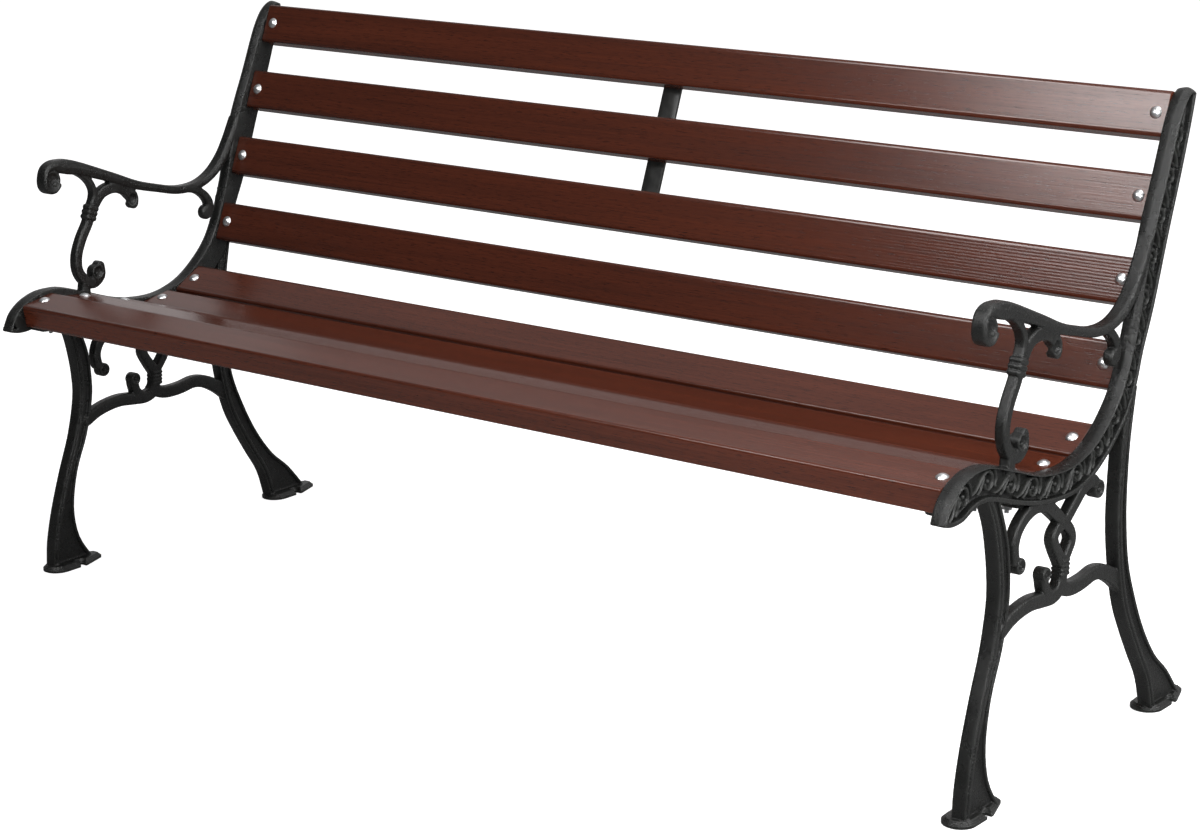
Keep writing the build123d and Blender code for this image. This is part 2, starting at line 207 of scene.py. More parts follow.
class BenchSizes(bpy.types.PropertyGroup):
    """Sizes that a user may change without touching the joints between pieces."""

    slat_width: length("Slat width", "Width of a slat", 56)
    slat_thickness: length("Slat thickness", "Thickness of a slat", 32)
    slat_edge: length("Slat edge radius", "Rounding of a slat's long edges", 4)
    casting_width: length("Casting width", "Width of the rims, arm and legs along the bench", 20)
    web_thickness: length("Web thickness", "Thickness of the panel between the rims", 11)
    ornament_width: length("Ornament width", "Thickness of the scrolls along the bench", 14)
    voxel: length("Casting grain", "Cell size of the remesh that melts a casting's members together", 1.25)
    casting_triangles: bpy.props.IntProperty(
        name="Casting triangles", description="Triangles that a finished casting keeps", default=170000)
    head_diameter: length("Bolt head", "Diameter of a carriage bolt's head", 16)
    head_height: length("Bolt head height", "Height of a carriage bolt's head", 4.2)


class BenchColours(bpy.types.PropertyGroup):
    """Colours of the bench's finishes."""

    iron: colour("Iron", "Paint on the castings", (0.0070, 0.0073, 0.0069))
    # The paler iron tone is a painted highlight on the castings' raised edges, and the strap's paler random
    # mottle
    iron_mottle_and_highlight: colour("Iron highlights", "Paint on the castings' raised edges", (0.042, 0.044, 0.041))
    wood_dark: colour("Wood dark", "Dark grain of the varnished wood", (0.066, 0.0145, 0.0066))
    wood_light: colour("Wood light", "Light grain of the varnished wood", (0.125, 0.0280, 0.0125))
    zinc: colour("Zinc", "Plate on the bolts", (0.92, 0.93, 0.94))


# ---- Modelling helpers


def shifted(x, y, z):
    """Matrix that moves things by metres."""
    return Matrix.Translation((x, y, z))


def turned(degrees, axis):
    return Matrix.Rotation(math.radians(degrees), 4, axis)


def near(first, second):
    """Whether two lengths in metres are one and the same."""
    return abs(first - second) < 1e-5


def clear_selection():
    if bpy.context.object and bpy.context.object.mode != "OBJECT":
        bpy.ops.object.mode_set(mode="OBJECT")
    bpy.ops.object.select_all(action="DESELECT")


def pick(*objects):
    """Select just these objects, the first one active."""
    clear_selection()
    for item in objects:
        item.select_set(True)
    bpy.context.view_layer.objects.active = objects[0]


def settle(piece):
    """Put an object's place into its mesh, so that the object sits at the origin."""
    pick(piece)
    bpy.ops.object.transform_apply(location=True, rotation=True, scale=True)
    return piece


def added(name):
    """The object just added, settled and named."""
    piece = settle(bpy.context.object)
    piece.name = name
    return piece


def join(name, pieces):
    pick(*pieces)
    if len(pieces) > 1:
        bpy.ops.object.join()
    joined = bpy.context.object
    joined.name = joined.data.name = name
    return joined


def copy_of(piece, name, place=Matrix.Identity(4)):
    """Another object with its own mesh, moved by a matrix that goes into the mesh."""
    pick(piece)
    bpy.ops.object.duplicate(linked=False)
    twin = bpy.context.object
    twin.name = twin.data.name = name
    twin.matrix_world = place @ twin.matrix_world
    return settle(twin)


def apply_modifier(piece, kind, **settings):
    pick(piece)
    modifier = piece.modifiers.new(kind.title(), kind)
    for key, value in settings.items():
        setattr(modifier, key, value)
    bpy.ops.object.modifier_apply(modifier=modifier.name)


def cut_away(piece, tool, operation="DIFFERENCE", **settings):
    """Cut a piece with another one, which is used up."""
    apply_modifier(piece, "BOOLEAN", operation=operation, object=tool, solver="EXACT", **settings)
    bpy.data.objects.remove(tool)


def drill(piece, radius, place, depth=30 * MM):
    """Bore a round hole through a piece, its axis along the place's Z."""
    bpy.ops.mesh.primitive_cylinder_add(vertices=24, radius=radius, depth=depth)
    tool = bpy.context.object
    tool.matrix_world = place
    cut_away(piece, tool)


def edit(piece):
    """Open a piece for editing with all of it selected."""
    pick(piece)
    bpy.ops.object.mode_set(mode="EDIT")
    bpy.ops.mesh.select_all(action="SELECT")


def extrude(shift):
    bpy.ops.mesh.extrude_region_move(TRANSFORM_OT_translate={"value": shift})


def close_shell(triangles=False):
    """Point the faces of the mesh being edited outwards and leave edit mode."""
    bpy.ops.mesh.select_all(action="SELECT")
    if triangles:
        bpy.ops.mesh.quads_convert_to_tris()
    bpy.ops.mesh.normals_make_consistent(inside=False)
    bpy.ops.object.mode_set(mode="OBJECT")


def choose(piece, kind, test):
    """Select the edges or faces that pass a test, in edit mode."""
    if bpy.context.object is not piece or piece.mode != "OBJECT":
        pick(piece)
    for items in (piece.data.vertices, piece.data.edges, piece.data.polygons):
        items.foreach_set("select", [False] * len(items))
    for item in piece.data.edges if kind == "EDGE" else piece.data.polygons:
        item.select = bool(test(item))
    bpy.context.tool_settings.mesh_select_mode = (False, kind == "EDGE", kind == "FACE")
    bpy.ops.object.mode_set(mode="EDIT")


def round_edges(piece, test, offset, segments):
    """Bevel the edges whose two end points pass a test together."""
    points = piece.data.vertices
    choose(piece, "EDGE", lambda edge: test(*(points[index].co for index in edge.vertices)))
    bpy.ops.mesh.bevel(offset=offset, segments=segments, affect="EDGES")
    bpy.ops.object.mode_set(mode="OBJECT")
    return piece


def close_edit(piece, angle=30):
    """Leave edit mode and shade a piece smooth up to an angle in degrees."""
    bpy.ops.object.mode_set(mode="OBJECT")
    pick(piece)
    bpy.ops.object.shade_smooth_by_angle(angle=math.radians(angle))
    return piece


def smooth_line(points, steps):
    """Points along a Catmull-Rom curve through the stations; every column is carried along."""
    line = []
    last = len(points) - 1
    for index in range(last):
        p0, p1 = Vector(points[max(index - 1, 0)]), Vector(points[index])
        p2, p3 = Vector(points[index + 1]), Vector(points[min(index + 2, last)])
        for step in range(steps):
            t = step / steps
            line.append(0.5 * ((2 * p1) + (p2 - p0) * t + (2 * p0 - 5 * p1 + 4 * p2 - p3) * t * t
                               + (3 * p1 - p0 - 3 * p2 + p3) * t ** 3))
    line.append(Vector(points[-1]))
    return line


def heading(line, index):
    ahead = line[min(index + 1, len(line) - 1)] - line[max(index - 1, 0)]
    return Vector((ahead[0], ahead[1])).normalized()


def offset_line(points, distance, steps=6):
    """The line through some points, moved sideways; positive is to the left of its run."""
    line = smooth_line(points, steps)
    moved = []
    for index, point in enumerate(line):
        run = heading(line, index)
        moved.append((point[0] - run[1] * distance, point[1] + run[0] * distance))
    return moved


def side_place(x, y, z):
    """Point in the bench's frame from X in metres and (y, z) of the side drawing in millimetres."""
    return Vector((x, SIDE_ZERO_Y + y * MM, z * MM))


def rounded_ends(line, steps=4, pinch=0.22):
    """Stations (y, z, half width, X share) with closing stations that round both ends of the bar."""
    line = [Vector((p[0], p[1], p[2], 1.0)) for p in line]
    closed = []
    for end, sign in ((0, -1), (len(line) - 1, 1)):
        run = heading(line, end)
        y, z, reach, _ = line[end]
        stations = []
        for step in range(1, steps + 1):
            turn = math.radians(78) * step / steps
            ahead = sign * reach * math.sin(turn)
            stations.append(Vector((y + run[0] * ahead, z + run[1] * ahead, reach * math.cos(turn),
                                    1 - pinch * (1 - math.cos(turn)))))
        closed = (stations[::-1] + line) if sign == -1 else (closed + stations)
    return closed


def drawn_face(name, corners):
    """One face through some corners."""
    clear_selection()
    bpy.ops.mesh.primitive_circle_add(vertices=len(corners), radius=1, fill_type="NGON", location=(0, 0, 0))
    piece = bpy.context.object
    piece.name = name
    for vertex, corner in zip(piece.data.vertices, corners):
        vertex.co = corner
    return piece


def run_ring(name, line, section, x_centre):
    """Extrude one ring from station to station, turning and sizing it at each.

    The section holds (X offset in mm, sideways offset as a share of the station's half width);
    a station holds (y, z, half width in mm, share of the X offsets).
    """
    (y, z, half, share), run = line[0], heading(line, 0)
    piece = drawn_face(name, [side_place(x_centre + across * share * MM, y - run[1] * side * half,
                                         z + run[0] * side * half) for across, side in section])
    edit(piece)
    for index in range(1, len(line)):
        last, here = line[index - 1], line[index]
        centre = side_place(x_centre, here[0], here[1])
        extrude(centre - side_place(x_centre, last[0], last[1]))
        ahead = heading(line, index)
        bend = run.angle_signed(ahead)
        run = ahead
        if abs(bend) > 1e-5:
            # angle_signed counts clockwise, and so does the operator when it has no window
            bpy.ops.transform.rotate(value=bend, orient_axis="X", orient_type="GLOBAL",
                                     center_override=centre)
        bpy.ops.transform.resize(value=(here[3] / last[3], here[2] / last[2], here[2] / last[2]),
                                 orient_type="GLOBAL", center_override=centre)
    close_shell()
    return piece


def round_section(half_x, half_side, corner, crest=0.0):
    """Rounded rectangle for run_ring; a crest raises a blunt line along the middle of the two X faces."""
    share = corner / half_side
    section = []
    for sign_x, sign_side, start in ((1, 1, 0), (-1, 1, 90), (-1, -1, 180), (1, -1, 270)):
        for step in (0, 30, 60, 90):
            turn = math.radians(start + step)
            section.append((sign_x * (half_x - crest - corner) + corner * math.cos(turn),
                            sign_side * (1 - share) + share * math.sin(turn)))
        if crest and sign_x != sign_side:
            section.append((sign_x * half_x, 0.0))
    return section


def bar(name, stations, x_centre, width, corner, steps=4, crest=0.0):
    """Rounded bar with closed round ends along stations of (y, z, half width)."""
    half_side = sum(station[2] for station in stations) / len(stations)
    section = round_section(width / 2 / MM, half_side, corner, crest)
    return run_ring(name, rounded_ends(smooth_line(stations, steps)), section, x_centre)


def edge_run(name, points, section, x_centre, share=None, steps=4):
    """Section in millimetres run along an outline; share gives the sideways scale at a point."""
    line = [Vector((p[0], p[1], share(p[0]) if share else 1.0, 1.0)) for p in smooth_line(points, steps)]
    return run_ring(name, line, section, x_centre)


def disc(name, y, z, radius, x_centre, width, rounding):
    """Round boss with rounded rims, its axis along X."""
    clear_selection()
    bpy.ops.mesh.primitive_cylinder_add(vertices=48, radius=radius * MM, depth=width,
                                        location=side_place(x_centre, y, z), rotation=(0, math.pi / 2, 0))
    return round_edges(added(name), lambda *ends: all(near(abs(end.x - x_centre), width / 2) for end in ends),
                       rounding, 4)


def block(name, size, rounding, segments=3, axis=None, place=Matrix.Identity(4)):
    """Block centred on zero with its edges (or only those along one axis) rounded, then put in place."""
    clear_selection()
    bpy.ops.mesh.primitive_cube_add(size=1, location=(0, 0, 0), scale=size)
    piece = added(name)
    round_edges(piece, lambda a, b: axis is None or not near(a[axis], b[axis]), rounding, segments)
    piece.matrix_world = place
    return settle(piece)


def flat_outline(name, points, place):
    """Closed flat outline in millimetres as one face, in place."""
    piece = drawn_face(name, [(across * MM, up * MM, 0) for across, up in points])
    piece.matrix_world = place
    return settle(piece)


def plate(name, points, x_low, thickness):
    """Plate of a side outline, from one X to the next."""
    piece = flat_outline(name, points, shifted(x_low, SIDE_ZERO_Y, 0) @ SIDE_PLANE)
    edit(piece)
    extrude((thickness, 0, 0))
    close_shell(triangles=True)
    return piece


def ball(name, place, radius, flatten=1.0):
    """Round nub, flattened along X."""
    clear_selection()
    bpy.ops.mesh.primitive_uv_sphere_add(segments=20, ring_count=12, radius=radius, location=place,
                                         scale=(flatten, 1, 1))
    return added(name)


# ---- Material helpers


def feed(tree, target, inputs):
    """Give a node its inputs; each is a value or another node's socket."""
    for key, value in inputs.items():
        if isinstance(value, bpy.types.NodeSocket):
            tree.links.new(value, target.inputs[key])
        else:
            target.inputs[key].default_value = value


def node(tree, kind, inputs=None, **settings):
    """Add a node, set its properties and give it its inputs."""
    made = tree.nodes.new(kind)
    for key, value in settings.items():
        setattr(made, key, value)
    feed(tree, made, inputs or {})
    return made


def maths(tree, operation, *values):
    return node(tree, "ShaderNodeMath", dict(enumerate(values)), operation=operation).outputs[0]


def noise(tree, place, scale, detail, roughness=0.5, distortion=0.0):
    return node(tree, "ShaderNodeTexNoise", {"Vector": place, "Scale": scale, "Detail": detail,
                                             "Roughness": roughness, "Distortion": distortion}).outputs[0]


def spread(tree, source, low, high, start, end, kind="LINEAR"):
    """Take the values between low and high to those between start and end."""
    return node(tree, "ShaderNodeMapRange", {0: source, 1: low, 2: high, 3: start, 4: end},
                interpolation_type=kind).outputs[0]


def mix_colours(tree, share, first, second):
    return node(tree, "ShaderNodeMix", {0: share, 6: first, 7: second}, data_type="RGBA").outputs[2]


def rgba(tone, scale=1.0):
    return (*[channel * scale for channel in tone], 1)


def ramp(tree, source, low, high):
    """Black up to one place and white from another."""
    made = node(tree, "ShaderNodeValToRGB", {0: source})
    for element, place, grey in zip(made.color_ramp.elements, (low, high), (0.0, 1.0)):
        element.position = place
        element.color = (grey, grey, grey, 1)
    return made.outputs[0]


def start_group(name, inputs, outputs):
    """New shader node group with number sockets: defaults by name, then the names it puts out."""
    tree = bpy.data.node_groups.new(name, "ShaderNodeTree")
    for label, default in inputs.items():
        socket = tree.interface.new_socket(name=label, in_out="INPUT", socket_type="NodeSocketFloat")
        socket.default_value = default
    for label in outputs:
        tree.interface.new_socket(name=label, in_out="OUTPUT", socket_type="NodeSocketFloat")
    return tree, tree.nodes.new("NodeGroupInput").outputs, tree.nodes.new("NodeGroupOutput")


def start_material(name):
    material = bpy.data.materials.new(name)
    material.use_nodes = True
    tree = material.node_tree
    tree.nodes.clear()
    shader = tree.nodes.new("ShaderNodeBsdfPrincipled")
    output = tree.nodes.new("ShaderNodeOutputMaterial")
    tree.links.new(shader.outputs[0], output.inputs[0])
    return material, tree, shader


def bump(tree, strength, distance, height):
    return node(tree, "ShaderNodeBump",
                {"Strength": strength, "Distance": distance, "Height": height}).outputs[0]


def cast_surface_group():
    """Sand-cast surface under paint: fine grain, larger lumps and a mask of raised edges where a painted
    highlight goes.
    """
    tree, given, sink = start_group("Cast Surface", {"Grain Size": 900.0, "Lump Size": 60.0},
                                    ("Height", "Edge Highlight", "Mottle"))
    place = node(tree, "ShaderNodeTexCoord").outputs["Object"]
    grain = noise(tree, place, given["Grain Size"], 3.0, 0.6)
    lumps = noise(tree, place, given["Lump Size"], 4.0, 0.55)
    # Raised edges, found by pointiness, get the painted highlight
    edge = ramp(tree, node(tree, "ShaderNodeNewGeometry").outputs["Pointiness"], 0.50, 0.57)
    feed(tree, sink, {
        "Height": maths(tree, "ADD", grain, maths(tree, "MULTIPLY", lumps, 1.6)),
        "Edge Highlight": maths(tree, "MULTIPLY", edge, lumps),
        "Mottle": lumps,
    })
    return tree


def wood_grain_group():
    """Straight grain along X: broad tone, fine streaks and short pores."""
    tree, given, sink = start_group("Wood Grain", {"Streaks": 420.0, "Seed": 0.0},
                                    ("Tone", "Pores", "Height"))
    place = node(tree, "ShaderNodeTexCoord").outputs["Object"]
    shift = node(tree, "ShaderNodeCombineXYZ", {0: given["Seed"]})
    moved = node(tree, "ShaderNodeVectorMath", {0: place, 1: shift.outputs[0]}, operation="ADD").outputs[0]

    def drawn_out(squeeze, *settings):
        along = node(tree, "ShaderNodeMapping", {"Vector": moved, "Scale": (squeeze, 1.0, 1.0)})
        return noise(tree, along.outputs[0], *settings)

    streaks = drawn_out(0.012, given["Streaks"], 5.0, 0.65, 0.15)
    broad = drawn_out(0.05, 45.0, 3.0, 0.5, 0.4)
    pores = ramp(tree, drawn_out(0.04, 1500.0, 1.0), 0.60, 0.72)
    mixed = node(tree, "ShaderNodeMix", {0: 0.45, 2: streaks, 3: broad}).outputs[0]
    feed(tree, sink, {
        "Tone": ramp(tree, mixed, 0.32, 0.68),
        "Pores": pores,
        "Height": maths(tree, "SUBTRACT", streaks, maths(tree, "MULTIPLY", pores, 0.1)),
    })
    return tree


def wood_material(colours, grain):
    """Satin varnish over straight grain; one board also has saw ribs towards its right-hand end."""
    material, tree, shader = start_material("varnished_wood")
    seed = node(tree, "ShaderNodeAttribute", attribute_name="board_seed").outputs["Fac"]
    wood = node(tree, "ShaderNodeGroup", {"Streaks": 420.0, "Seed": seed}, node_tree=grain).outputs
    tone = mix_colours(tree, wood["Tone"], rgba(colours.wood_dark), rgba(colours.wood_light))
    place = node(tree, "ShaderNodeTexCoord").outputs["Object"]
    ribs = node(tree, "ShaderNodeTexWave", {"Vector": place, "Scale": 86.0, "Distortion": 0.5, "Detail": 1.0},
                wave_type="BANDS", bands_direction="Z").outputs["Fac"]
    along = node(tree, "ShaderNodeSeparateXYZ", {0: place}).outputs["X"]
    ribbed = node(tree, "ShaderNodeAttribute", attribute_name="board_ribs").outputs["Fac"]
    share = maths(tree, "MULTIPLY", spread(tree, along, 0.1, 0.6, 0.0, 1.0, "SMOOTHSTEP"), ribbed)
    height = maths(tree, "MULTIPLY_ADD", maths(tree, "MULTIPLY", ribs, share), 0.5, wood["Height"])
    feed(tree, shader, {
        "Base Color": mix_colours(tree, wood["Pores"], tone, rgba(colours.wood_dark, 0.5)),
        "Roughness": spread(tree, wood["Tone"], 0.0, 1.0, 0.24, 0.18),
        "Specular IOR Level": 0.58,
        "Normal": bump(tree, 0.18, 0.0006, height),
    })
    return material


def metal_material(name, surface, grain, lump, tones, roughness, strength, distance,
                   level=0.5, metallic=0.0):
    """Painted or plated metal, mottled between two tones; a third one, a painted highlight, goes on its
    raised edges.
    """
    material, tree, shader = start_material(name)
    skin = node(tree, "ShaderNodeGroup", {"Grain Size": grain, "Lump Size": lump}, node_tree=surface).outputs
    body = mix_colours(tree, skin["Mottle"], *tones[:2])
    for tone in tones[2:]:
        body = mix_colours(tree, skin["Edge Highlight"], body, tone)
    feed(tree, shader, {
        "Base Color": body,
        "Roughness": spread(tree, skin["Mottle"], 0.3, 0.7, *roughness),
        "Specular IOR Level": level,
        "Metallic": metallic,
        "Normal": bump(tree, strength, distance, skin["Height"]),
    })
    return material


def iron_material(colours, surface):
    """Black paint over the castings, with a painted highlight on their raised edges."""
    tones = (rgba(colours.iron), rgba(colours.iron, 1.5), rgba(colours.iron_mottle_and_highlight))
    return metal_material("cast_iron_paint", surface, 900.0, 55.0, tones, (0.20, 0.36), 0.6, 0.0009,
                          level=0.42)


def zinc_material(colours, surface):
    tones = (rgba(colours.zinc), rgba(colours.zinc, 0.82))
    return metal_material("bright_zinc", surface, 1600.0, 240.0, tones, (0.26, 0.40), 0.08, 0.0003,
                          metallic=1.0)


def strap_material(colours, surface):
    tones = (rgba(colours.iron), rgba(colours.iron_mottle_and_highlight))
    return metal_material("strap_paint", surface, 1200.0, 90.0, tones, (0.34, 0.46), 0.15, 0.0004)


# Each finish with its maker and the surface group that the maker uses
FINISHES = {
    "cast_iron_paint": (iron_material, "Cast Surface", cast_surface_group),
    "varnished_wood": (wood_material, "Wood Grain", wood_grain_group),
    "bright_zinc": (zinc_material, "Cast Surface", cast_surface_group),
    "strap_paint": (strap_material, "Cast Surface", cast_surface_group),
}


def finish_for(name):
    """The named material, made with its node group the first time it is asked for."""
    if name in bpy.data.materials:
        return bpy.data.materials[name]
    maker, group_name, make_group = FINISHES[name]
    group = bpy.data.node_groups.get(group_name) or make_group()
    return maker(bpy.context.scene.bench_colours, group)


def dress(piece, finish, slot, *stands_for):
    """Give a piece its material and body, and hide the CAD nodes it stands for; the slot is not used."""
    piece.data.materials.clear()
    piece.data.materials.append(finish_for(finish))
    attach(piece, "root")
    if stands_for:
        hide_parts(*stands_for)
    return piece


# ---- Operators


# Roundings of the lighter members and of the arm, in millimetres, and the blunt ridge along the arm's sides
ORNAMENT_CORNER = 3.2
ARM_CORNER = 3.6
ARM_RIDGE = 0.9
# How far the web, and a leg's panel in front and behind, run in under the rims and beads
WEB_TUCK = 2.5
PANEL_TUCK = (3, -2.5)
PANEL_THICKNESS = 9.6 * MM
# The front rim has half its side depth on the seat and grows to all of it over this run of y
RIM_GROWTH_START = 290
RIM_GROWTH_RUN = 140
# Foot flange in millimetres: front tips of the two feet, half width, side notches, steps (rise, inset)
FOOT_TIPS = (-4.0, 432.0)
FOOT_HALF_WIDTH = 21.0
FOOT_NOTCH_MIDDLE = 50.0
FOOT_NOTCH_RADIUS = 4.5
FOOT_NOTCH_DEPTH = 6
FOOT_STEPS = ((4.2, 2.2), (1.9, 2.0), (1.9, 0.0))
# Ear behind each slat and its root on the casting
LUG_SIZE = (40 * MM, 42 * MM, 6 * MM)
LUG_X = 729 * MM
LUG_ROOT_SIZE = (9 * MM, 42 * MM, 24 * MM)
LUG_ROOT_X = 744.5 * MM
LUG_ROOT_MIDDLE = -26 * MM
# Rim sections: (X offset, sideways offset) in millimetres, the drawn outline at sideways zero
FRONT_RIM = ((-10, -7), (-10, -3.2), (-8.8, -2.1), (-4, -0.9), (0, -0.1), (1.6, 0), (3.2, -0.5), (6.5, -2.2),
             (9, -3.9), (10, -5.2), (10, -6.4), (9.2, -7))
REAR_RIM = ((-10, 6), (-10, 1.4), (-9, 0.3), (-7, 0), (7, 0), (9, 0.4), (10, 1.6), (10, 5.4), (9.2, 6))
LEG_FRONT_BEAD = ((-8, 10.5), (-9.6, 9.2), (-10, 7), (-9.6, 5.2), (-7.6, 4.2), (-7.6, 3.4), (-9.4, 2.4),
                  (-9.2, 1.2), (-7.5, 0.3), (-4, 0))
LEG_FRONT_BEAD += tuple((-across, side) for across, side in LEG_FRONT_BEAD[::-1])
LEG_REAR_BEAD = ((-8.6, -4.2), (-8.8, -1.6), (-7.4, -0.2), (7.4, -0.2), (8.8, -1.6), (8.6, -4.2), (7, -5),
                 (-7, -5))
RELIEF_SECTION = ((-6.5, -1), (0.8, -1), (2.8, -0.7), (3.7, 0), (2.8, 0.7), (0.8, 1), (-6.5, 1))
# One unit of the running scroll, drawn along the band: stations (along, across, half width)
RELIEF_UNIT = (
    ((-27, -12.5, 1.5), (-19, -9, 1.9), (-12.5, -2, 2.0), (-7.5, 5, 2.1), (-0.5, 9.8, 2.2), (7, 10.6, 2.3),
     (13, 7, 2.3), (15.4, 0.5, 2.2), (13.4, -6, 2.1), (8, -9.6, 1.9), (2.4, -8.2, 1.7), (0, -3.6, 1.5)),
    ((-14, -12.5, 1.3), (-9, -8, 1.5), (-6.2, -1.5, 1.5), (-3.4, 4.5, 1.3)),
    ((17.5, 12.5, 1.2), (21, 7, 1.6), (22.4, 0.5, 1.5), (20.5, -6, 1.2)),
)
RELIEF_NUB = (7.4, -0.6, 2.9)
# How far the scroll's own line stands over the band's middle line, in millimetres, and its places in X
RELIEF_RISE = 2.4
RELIEF_FACE = INNER_FACE + 13.5 * MM
RELIEF_NUB_X = INNER_FACE + 13 * MM
NOSE_CURL = ((-38, 361, 1.6), (-33, 370, 1.8), (-24, 380, 1.8), (-15, 384, 1.6), (-10, 379, 1.5),
             (-14, 373, 1.5))
# Distance along the band to the first scroll ring, then the pitches of the seat's and the back's
RELIEF_START = 45.0
RELIEF_PITCHES = (51.0,) * 6 + (48.5,) * 8


def band_middle():
    """Points midway between the band's two outlines, each with its distance along them."""
    front, rear = smooth_line(BAND_FRONT, 6), smooth_line(BAND_REAR, 6)
    middle, travelled = [], 0.0
    for point in front:
        near = min(rear, key=lambda p: (p - point).length)
        place = (point + near) / 2
        if middle:
            travelled += (place - middle[-1][0]).length
        middle.append((place, travelled))
    return middle


def along_middle(middle, distance):
    """Place and heading on the band's middle line."""
    for (last, start), (place, end) in zip(middle, middle[1:]):
        if end >= distance and end > start:
            return last.lerp(place, (distance - start) / (end - start)), (place - last).normalized()
    return middle[-1][0], (middle[-1][0] - middle[-3][0]).normalized()


def hollow_face(piece, y, z, radius, depth, face):
    """Press a round dish into both X faces of a scroll."""
    points = piece.data.vertices
    for point in points:
        off = math.hypot(point.co.y - SIDE_ZERO_Y - y * MM, point.co.z - z * MM) / (radius * MM)
        if off < 1:
            reach = (face - depth * math.sqrt(1 - off ** 3)) * MM
            away = point.co.x - MID_PLANE
            if abs(away) > reach and abs(away) < (face + 3) * MM:
                point.co.x = MID_PLANE + math.copysign(reach, away)


def rim_share(y):
    return min(1.0, max(0.5, 0.5 + (y - RIM_GROWTH_START) / RIM_GROWTH_RUN))


def leg_shells(front, rear):
    """Recessed side panel between a raised front bead and a thin rear bead."""
    panel = offset_line(front, PANEL_TUCK[0]) + offset_line(rear, PANEL_TUCK[1])[::-1]
    return [
        plate("leg_panel", panel, MID_PLANE - PANEL_THICKNESS / 2, PANEL_THICKNESS),
        edge_run("leg_front_bead", front, LEG_FRONT_BEAD, MID_PLANE),
        edge_run("leg_rear_bead", rear, LEG_REAR_BEAD, MID_PLANE),
    ]


def collar_rings(y, z, lean, width, count, pitch, slant):
    rings = []
    for index in range(count):
        shift = (index - (count - 1) / 2) * pitch
        turn = math.radians(lean)
        centre = side_place(MID_PLANE, y + shift * math.cos(turn), z + shift * math.sin(turn))
        place = shifted(*centre) @ turned(lean, "X") @ turned(slant, "Z")
        rings.append(block("collar_ring", (17.4 * MM, (pitch + 0.2) * MM, width * MM), 2.9 * MM, place=place))
    return rings


def foot_shell(front_y):
    """Stepped foot flange: round front, a notch in each side and a blunt tapered spur behind."""
    half, notch_middle, notch = FOOT_HALF_WIDTH, FOOT_NOTCH_MIDDLE, FOOT_NOTCH_RADIUS
    front, rear, inner = notch_middle - notch, notch_middle + notch, half - FOOT_NOTCH_DEPTH
    right = [(half * math.sin(turn), half - half * math.cos(turn))
             for turn in map(math.radians, range(0, 91, 9))]
    right += [(half, front), (inner, front)]
    right += [(inner - notch * math.sin(turn), notch_middle - notch * math.cos(turn))
              for turn in map(math.radians, range(30, 151, 30))]
    right += [(inner, rear), (half, rear), (half, rear + 4), (9.5, 93.5), (7, 96)]
    outline = right + [(-x, y) for x, y in right[:0:-1]]
    place = shifted(MID_PLANE - 4 * MM, SIDE_ZERO_Y + front_y * MM, 0)
    foot = flat_outline("foot", outline, place)
    edit(foot)
    for rise, inset in FOOT_STEPS:
        extrude((0, 0, rise * MM))
        if inset:
            bpy.ops.mesh.inset(thickness=inset * MM)
    close_shell(triangles=True)
    return foot


def slat_place(name):
    y, z, tilt = SLATS[name]
    return shifted(0, SIDE_ZERO_Y + y * MM, z * MM) @ turned(tilt, "X")


def lug_shells():
    """Ear with its bolt hole and its root, modelled once and copied behind every slat."""
    ear = block("lug", LUG_SIZE, 8 * MM, 5, axis=2, place=shifted(LUG_X, 0, LUG_MIDDLE))
    drill(ear, BOLT_HOLE, shifted(BOLT_X, 0, LUG_MIDDLE))
    root = block("lug_root", LUG_ROOT_SIZE, 1 * MM, 2, place=shifted(LUG_ROOT_X, 0, LUG_ROOT_MIDDLE))
    shells = []
    for name in SLATS:
        shells += [copy_of(ear, "lug", slat_place(name)), copy_of(root, "lug_root", slat_place(name))]
    bpy.data.objects.remove(ear)
    bpy.data.objects.remove(root)
    return shells


def mirrored_pair(piece, left_name, right_name):
    """Name a right-hand piece and make its left-hand mirror image."""
    twin = copy_of(piece, left_name, Matrix.Scale(-1, 4, (1, 0, 0)))
    edit(twin)
    close_shell()
    piece.name = piece.data.name = right_name
    return twin


